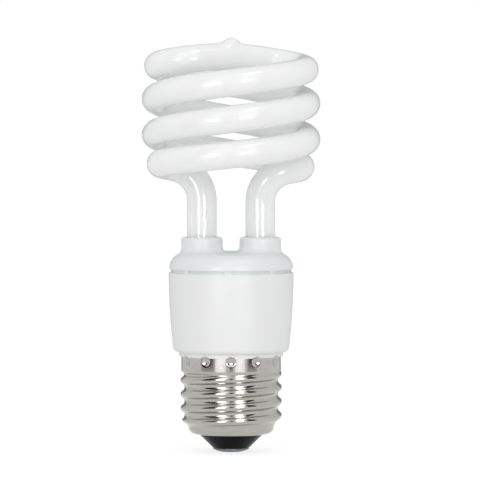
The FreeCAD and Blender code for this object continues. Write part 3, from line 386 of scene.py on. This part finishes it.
# Ballast housing: a tapered cup moulded in white flame-retardant plastic, snapped to the cap for good.
# The mould is spark-finished, so the skin is satin with a very fine grain.
white_plastic = worked_finish(
    "white_plastic", light=(0.87, 0.877, 0.873), dark=(0.85, 0.857, 0.853), squeeze=(1, 1, 0.4),
    patches=120, grains=5200, rough=(0.36, 0.5), bump=0.12, IOR=1.5
)
dress("ballast_housing", white_plastic)


# Tube cap: the upper housing half, the same white plastic with a slightly cooler tone from its own mould. Its
# tone is also set a little darker than the housing's, as painted shade for the collars.
# Its two collars take the legs of the tube.
cap_plastic = worked_finish(
    "cap_plastic", light=(0.835, 0.86, 0.865), dark=(0.815, 0.84, 0.845), squeeze=(1, 1, 0.4),
    patches=120, grains=5200, rough=(0.34, 0.48), bump=0.12, IOR=1.5
)
dress("tube_cap", cap_plastic)


# Tube cement: a chalky white cement that is pressed into the collars round the tube's legs and baked hard.
# Its surface stays rough.
tube_cement = worked_finish(
    "tube_cement", light=(0.8, 0.79, 0.75), dark=(0.66, 0.65, 0.61),
    patches=700, grains=2200, rough=(0.75, 0.95), bump=0.9
)
dress("tube_cement", tube_cement)


# Discharge tube: one length of clear glass tube, coated white inside with phosphor, bent hot over a mandrel
# into a double spiral, with the cold tip blown out at the crossover. The glass outside is fire-polished.
coated_glass = worked_finish(
    "coated_glass", light=(0.95, 0.96, 0.95), dark=(0.925, 0.94, 0.93),
    patches=110, grains=1500, rough=(0.3, 0.36),
    **{
        "Specular IOR Level": 0.0,
        "Subsurface Weight": 0.65,
        "Subsurface Radius": (1.0, 1.0, 1.0),
        "Subsurface Scale": 0.006,
        "Coat Weight": 1.0,
        "Coat Roughness": 0.1,
        "Coat IOR": 1.52,
    }
)
dress("discharge_tube", coated_glass)


# Studio lights: three softboxes in front, at each side and high on the right, that only gloss mirrors.
# Each face fades towards its edge, as a diffuser's does. Nothing of the studio belongs to the bulb.
BULB_MIDDLE = Vector((0.0, 0.0, 0.06))
LIGHT_DISTANCE = 0.9
FACE_MIDDLE = (0.5, 0.5, 0.0)
FACE_EDGE = 0.5
FULL_GLOW = 0.2


def toward(azimuth, elevation, distance, centre):
    flat = distance * cos(radians(elevation))
    return centre + Vector(
        (flat * sin(radians(azimuth)), -flat * cos(radians(azimuth)), distance * sin(radians(elevation)))
    )


def reckon(tree, kind, operation):
    node = tree.nodes.new(kind)
    node.operation = operation
    return node


def soft_fade(tree, start, end):
    fade = tree.nodes.new("ShaderNodeMapRange")
    fade.interpolation_type = "SMOOTHSTEP"
    fade.inputs["From Min"].default_value = start
    fade.inputs["From Max"].default_value = end
    return fade


def soft_lamp(name, azimuth, elevation, size, radiance):
    lamp = bpy.data.lights.new(name, "AREA")
    lamp.shape = "RECTANGLE"
    lamp.size, lamp.size_y = size
    lamp.energy = radiance * pi * size[0] * size[1]
    lamp.use_nodes = True
    tree = lamp.node_tree
    place = tree.nodes.new("ShaderNodeNewGeometry")
    from_middle = reckon(tree, "ShaderNodeVectorMath", "DISTANCE")
    from_middle.inputs[1].default_value = FACE_MIDDLE
    fade = soft_fade(tree, FACE_EDGE, FULL_GLOW)
    tree.links.new(place.outputs["Parametric"], from_middle.inputs[0])
    tree.links.new(from_middle.outputs["Value"], fade.inputs["Value"])
    tree.links.new(fade.outputs["Result"], tree.nodes["Emission"].inputs["Strength"])
    holder = bpy.data.objects.new(name, lamp)
    holder.location = toward(azimuth, elevation, LIGHT_DISTANCE, BULB_MIDDLE)
    holder.rotation_euler = (holder.location - BULB_MIDDLE).to_track_quat("Z", "Y").to_euler()
    holder.visible_diffuse = False
    bpy.context.scene.collection.objects.link(holder)


soft_lamp("left_lamp", azimuth=-24, elevation=4, size=(0.34, 0.5), radiance=8.0)
soft_lamp("right_lamp", azimuth=20, elevation=1, size=(0.3, 0.5), radiance=8.0)
soft_lamp("high_lamp", azimuth=34, elevation=64, size=(0.36, 0.18), radiance=12.0)


# Studio cards: sheets with soft edges round the lens, that only gloss mirrors. The dark ones, close by, and
# the grey ones behind them give the plated thread its edges. The white ones, far and low, fill in between.
CARD_COOL = 1.04
CARD_END_FADE = 0.006


def stage_sheet(name, matrix, half_width, half_height, material):
    sheet = bmesh.new()
    sheet.loops.layers.uv.new("across")
    bmesh.ops.create_grid(sheet, x_segments=1, y_segments=1, size=1.0, calc_uvs=True)
    bmesh.ops.scale(sheet, vec=(half_width, half_height, 1.0), verts=sheet.verts)
    bmesh.ops.transform(sheet, matrix=matrix, verts=sheet.verts)
    mesh = bpy.data.meshes.new(name)
    sheet.to_mesh(mesh)
    sheet.free()
    mesh.materials.append(material)
    piece = bpy.data.objects.new(name, mesh)
    bpy.context.scene.collection.objects.link(piece)
    return piece


def soft_card(name, tone, side_fade, end_fade):
    card = bpy.data.materials.new(name)
    card.use_nodes = True
    tree = card.node_tree
    tree.nodes.clear()
    surface = tree.nodes.new("ShaderNodeOutputMaterial")
    place = tree.nodes.new("ShaderNodeTexCoord")
    from_middle = reckon(tree, "ShaderNodeVectorMath", "SUBTRACT")
    from_middle.inputs[1].default_value = FACE_MIDDLE
    outward = reckon(tree, "ShaderNodeVectorMath", "ABSOLUTE")
    axes = tree.nodes.new("ShaderNodeSeparateXYZ")
    either_edge = reckon(tree, "ShaderNodeMath", "MAXIMUM")
    cloth = tree.nodes.new("ShaderNodeEmission")
    cloth.inputs["Color"].default_value = (tone, tone, CARD_COOL * tone, 1.0)
    clear = tree.nodes.new("ShaderNodeBsdfTransparent")
    edge = tree.nodes.new("ShaderNodeMixShader")
    tree.links.new(place.outputs["UV"], from_middle.inputs[0])
    tree.links.new(from_middle.outputs["Vector"], outward.inputs[0])
    tree.links.new(outward.outputs["Vector"], axes.inputs["Vector"])
    for index, width in enumerate((side_fade, end_fade)):
        fade = soft_fade(tree, FACE_EDGE - width, FACE_EDGE)
        tree.links.new(axes.outputs[index], fade.inputs["Value"])
        tree.links.new(fade.outputs["Result"], either_edge.inputs[index])
    tree.links.new(either_edge.outputs["Value"], edge.inputs["Fac"])
    tree.links.new(cloth.outputs["Emission"], edge.inputs[1])
    tree.links.new(clear.outputs["BSDF"], edge.inputs[2])
    tree.links.new(edge.outputs["Shader"], surface.inputs["Surface"])
    return card


def reflector(name, azimuth, half_width, tone, distance, bottom, height, side_fade=0.14):
    centre = Vector((0.0, 0.0, bottom + height / 2))
    stand = toward(azimuth, 0, distance, centre)
    turn = (stand - centre).to_track_quat("Z", "Y").to_matrix().to_4x4()
    paint = soft_card(name, tone, side_fade, CARD_END_FADE / height)
    card = stage_sheet(name, Matrix.Translation(stand) @ turn, half_width, height / 2, paint)
    card.visible_camera = False
    card.visible_diffuse = False
    card.visible_shadow = False


dark_place = {"distance": 0.09, "bottom": 0.0135, "height": 0.057, "side_fade": 0.36}
reflector("left_dark_card", azimuth=-52, half_width=0.034, tone=0.004, **dark_place)
reflector("right_dark_card", azimuth=46, half_width=0.023, tone=0.004, **dark_place)
reflector("lens_dark_card", azimuth=0, half_width=0.008, tone=0.02, **dark_place)
grey_place = {"distance": 0.22, "bottom": 0.03, "height": 0.4}
reflector("left_grey_card", azimuth=-52, half_width=0.062, tone=0.16, **grey_place)
reflector("right_grey_card", azimuth=46, half_width=0.041, tone=0.16, **grey_place)
white_place = {"distance": 1.0, "bottom": 0.0, "height": 2.0}
reflector("left_white_card", azimuth=-24, half_width=0.24, tone=1.9, **white_place)
reflector("right_white_card", azimuth=20, half_width=0.22, tone=1.9, **white_place)
low_place = {"distance": 0.23, "bottom": 0.0, "height": 0.016}
reflector("left_low_card", azimuth=-24, half_width=0.056, tone=1.7, **low_place)
reflector("right_low_card", azimuth=20, half_width=0.052, tone=1.7, **low_place)


# Studio surroundings: what gloss mirrors of the room, from pale grey in front through a dark ring round
# the backdrop to white straight behind the bulb.
FRONT_GREY = 0.8
ROOM_TONES = ((0.7, 0.84), (0.9, 0.72), (0.94, 0.3), (0.985, 0.2), (0.998, 1.0))
ROOM_GREEN = 1.02
ROOM_BLUE = 1.04
WHITE = (1.0, 1.0, 1.0, 1.0)

surroundings = bpy.data.node_groups.new("surroundings", "ShaderNodeTree")
surroundings.interface.new_socket("Direction", in_out="INPUT", socket_type="NodeSocketVector")
surroundings.interface.new_socket("Colour", in_out="OUTPUT", socket_type="NodeSocketColor")
given = surroundings.nodes.new("NodeGroupInput")
result = surroundings.nodes.new("NodeGroupOutput")
axes = surroundings.nodes.new("ShaderNodeSeparateXYZ")
front_to_back = surroundings.nodes.new("ShaderNodeMapRange")
front_to_back.inputs["From Min"].default_value = -1.0
room_tone = surroundings.nodes.new("ShaderNodeValToRGB")
room_tone.color_ramp.elements[0].color = (FRONT_GREY, FRONT_GREY, FRONT_GREY, 1.0)
room_tone.color_ramp.elements[1].color = WHITE
for place, tone in ROOM_TONES:
    room_tone.color_ramp.elements.new(place).color = (tone, ROOM_GREEN * tone, ROOM_BLUE * tone, 1.0)
surroundings.links.new(given.outputs["Direction"], axes.inputs["Vector"])
surroundings.links.new(axes.outputs["Y"], front_to_back.inputs["Value"])
surroundings.links.new(front_to_back.outputs["Result"], room_tone.inputs["Fac"])
surroundings.links.new(room_tone.outputs["Color"], result.inputs["Colour"])


# Studio floor: white paper that lights the bulb from below. Seen directly or through glass it glows a little
# short of white, and in gloss it has the tone of the surroundings. The light that falls on it adds the rest,
# so that it keeps the bulb's shadow.
FLOOR_HALF_SIZE = 4.0
PAPER_WHITE = 0.95
SHADOW_SHARE = 0.3
FLOOR_GLOW = 0.8

floor_white = bpy.data.materials.new("floor_white")
floor_white.use_nodes = True
tree = floor_white.node_tree
tree.nodes.clear()
surface = tree.nodes.new("ShaderNodeOutputMaterial")
rays = tree.nodes.new("ShaderNodeLightPath")
seen = reckon(tree, "ShaderNodeMath", "MAXIMUM")
seen_in_glass = reckon(tree, "ShaderNodeMath", "MAXIMUM")
paper = tree.nodes.new("ShaderNodeBsdfDiffuse")
paper.inputs["Color"].default_value = (PAPER_WHITE, PAPER_WHITE, PAPER_WHITE, 1.0)
shadowed = tree.nodes.new("ShaderNodeBsdfDiffuse")
shadowed.inputs["Color"].default_value = (SHADOW_SHARE, SHADOW_SHARE, SHADOW_SHARE, 1.0)
glow = tree.nodes.new("ShaderNodeEmission")
glow.inputs["Strength"].default_value = FLOOR_GLOW
place = tree.nodes.new("ShaderNodeNewGeometry")
from_bulb = reckon(tree, "ShaderNodeVectorMath", "SUBTRACT")
from_bulb.inputs[1].default_value = BULB_MIDDLE
bearing = reckon(tree, "ShaderNodeVectorMath", "NORMALIZE")
mirrored = tree.nodes.new("ShaderNodeGroup")
mirrored.node_tree = surroundings
white_or_mirrored = tree.nodes.new("ShaderNodeMix")
white_or_mirrored.data_type = "RGBA"
white_or_mirrored.inputs["A"].default_value = WHITE
glow_and_shadow = tree.nodes.new("ShaderNodeAddShader")
pick = tree.nodes.new("ShaderNodeMixShader")
tree.links.new(place.outputs["Position"], from_bulb.inputs[0])
tree.links.new(from_bulb.outputs["Vector"], bearing.inputs[0])
tree.links.new(bearing.outputs["Vector"], mirrored.inputs["Direction"])
tree.links.new(rays.outputs["Is Glossy Ray"], white_or_mirrored.inputs["Factor"])
tree.links.new(mirrored.outputs["Colour"], white_or_mirrored.inputs["B"])
tree.links.new(white_or_mirrored.outputs["Result"], glow.inputs["Color"])
tree.links.new(rays.outputs["Is Camera Ray"], seen.inputs[0])
tree.links.new(rays.outputs["Is Glossy Ray"], seen.inputs[1])
tree.links.new(seen.outputs["Value"], seen_in_glass.inputs[0])
tree.links.new(rays.outputs["Is Transmission Ray"], seen_in_glass.inputs[1])
tree.links.new(glow.outputs["Emission"], glow_and_shadow.inputs[0])
tree.links.new(shadowed.outputs["BSDF"], glow_and_shadow.inputs[1])
tree.links.new(seen_in_glass.outputs["Value"], pick.inputs["Fac"])
tree.links.new(paper.outputs["BSDF"], pick.inputs[1])
tree.links.new(glow_and_shadow.outputs["Shader"], pick.inputs[2])
tree.links.new(pick.outputs["Shader"], surface.inputs["Surface"])
stage_sheet("floor", Matrix.Translation((0.0, 0.0, 0.0)), FLOOR_HALF_SIZE, FLOOR_HALF_SIZE, floor_white)


# Studio room: an even soft light with more of it from the front, which lights the bulb.
# The backdrop is seen as white, and gloss mirrors the surroundings in its place.
EVEN_LIGHT = 0.66
FRONT_LIGHT = 0.98
FRONT_GATHER = 2.0

world = bpy.data.worlds.new("studio")
bpy.context.scene.world = world
world.use_nodes = True
tree = world.node_tree
tree.nodes.clear()
sky = tree.nodes.new("ShaderNodeOutputWorld")
rays = tree.nodes.new("ShaderNodeLightPath")
facing = tree.nodes.new("ShaderNodeTexCoord")
axes = tree.nodes.new("ShaderNodeSeparateXYZ")
toward_front = tree.nodes.new("ShaderNodeMapRange")
toward_front.inputs["From Max"].default_value = -1.0
gathered = reckon(tree, "ShaderNodeMath", "POWER")
gathered.inputs[1].default_value = FRONT_GATHER
front_light = reckon(tree, "ShaderNodeMath", "MULTIPLY_ADD")
front_light.inputs[1].default_value = FRONT_LIGHT
front_light.inputs[2].default_value = EVEN_LIGHT
room = tree.nodes.new("ShaderNodeBackground")
room.inputs["Color"].default_value = WHITE
backdrop = tree.nodes.new("ShaderNodeBackground")
backdrop.inputs["Color"].default_value = WHITE
seen = reckon(tree, "ShaderNodeMath", "MAXIMUM")
pick_seen = tree.nodes.new("ShaderNodeMixShader")
around = tree.nodes.new("ShaderNodeGroup")
around.node_tree = surroundings
mirrored = tree.nodes.new("ShaderNodeBackground")
pick_mirrored = tree.nodes.new("ShaderNodeMixShader")
tree.links.new(facing.outputs["Generated"], axes.inputs["Vector"])
tree.links.new(axes.outputs["Y"], toward_front.inputs["Value"])
tree.links.new(toward_front.outputs["Result"], gathered.inputs[0])
tree.links.new(gathered.outputs["Value"], front_light.inputs[0])
tree.links.new(front_light.outputs["Value"], room.inputs["Strength"])
tree.links.new(rays.outputs["Is Camera Ray"], seen.inputs[0])
tree.links.new(rays.outputs["Is Transmission Ray"], seen.inputs[1])
tree.links.new(seen.outputs["Value"], pick_seen.inputs["Fac"])
tree.links.new(room.outputs["Background"], pick_seen.inputs[1])
tree.links.new(backdrop.outputs["Background"], pick_seen.inputs[2])
tree.links.new(facing.outputs["Generated"], around.inputs["Direction"])
tree.links.new(around.outputs["Colour"], mirrored.inputs["Color"])
tree.links.new(rays.outputs["Is Glossy Ray"], pick_mirrored.inputs["Fac"])
tree.links.new(pick_seen.outputs["Shader"], pick_mirrored.inputs[1])
tree.links.new(mirrored.outputs["Background"], pick_mirrored.inputs[2])
tree.links.new(pick_mirrored.outputs["Shader"], sky.inputs["Surface"])


# Camera: a long lens a little above the bulb's middle, straight in front of it and level across.
# It looks slightly down, and stands a touch to the right, so that the bulb is a little left of the middle.
CAMERA_PLACE = Vector((0.0023, -0.960, 0.0895))
CAMERA_AIM = Vector((0.0023, 0.0, 0.0548))
FOCAL_LENGTH = 278.7
SENSOR_WIDTH = 36.0
FAR_CLIP = 20.0

lens = bpy.data.cameras.new("camera")
lens.lens = FOCAL_LENGTH
lens.sensor_width = SENSOR_WIDTH
lens.clip_end = FAR_CLIP
camera = bpy.data.objects.new("camera", lens)
camera.location = CAMERA_PLACE
camera.rotation_euler = (CAMERA_PLACE - CAMERA_AIM).to_track_quat("Z", "Y").to_euler()
bpy.context.scene.collection.objects.link(camera)
bpy.context.scene.camera = camera
bpy.context.scene.view_settings.view_transform = "Standard"
